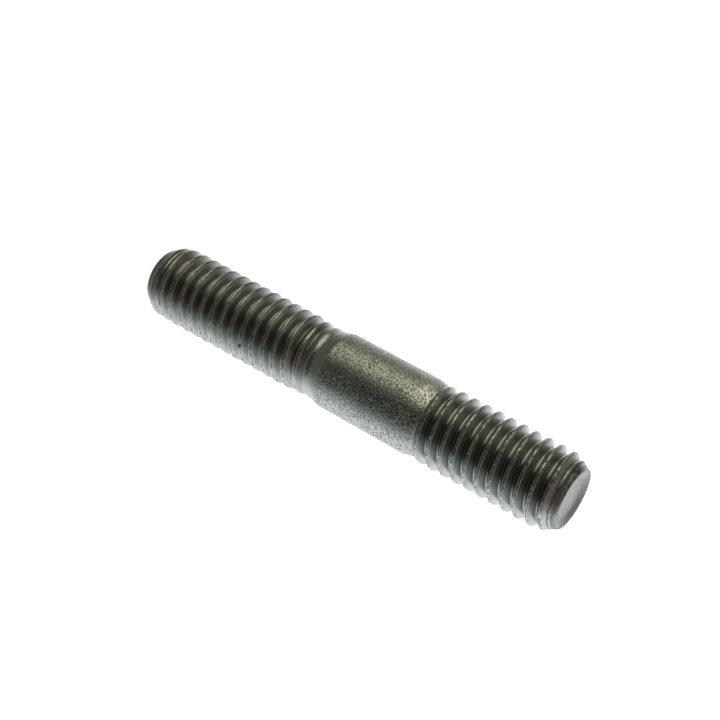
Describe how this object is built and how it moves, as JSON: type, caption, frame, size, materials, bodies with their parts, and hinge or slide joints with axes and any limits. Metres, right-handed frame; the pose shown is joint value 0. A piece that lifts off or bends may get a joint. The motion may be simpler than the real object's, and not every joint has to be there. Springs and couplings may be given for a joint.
{
  "type": "stud bolt",
  "caption": "Double-ended steel stud: rolled right-hand threads at both ends of a plain shank that necks down to each thread, with chamfered flat ends.",
  "frame": {"origin": "centre of the nut end's flat face, on the stud's axis", "axes": "+Z runs along the stud from the nut end, with the longer thread, to the tap end; +X and +Y are across it, placed only by the threads' start"},
  "size_m": [0.0058, 0.0058, 0.0366],
  "materials": {
    "tumbled_steel": "dull tumbled plain steel, finely mottled, with dark oily grooves and lighter rubbed crests"
  },
  "bodies": {
    "root": {"stud_bolt": "tumbled_steel"}
  },
  "joints": []
}
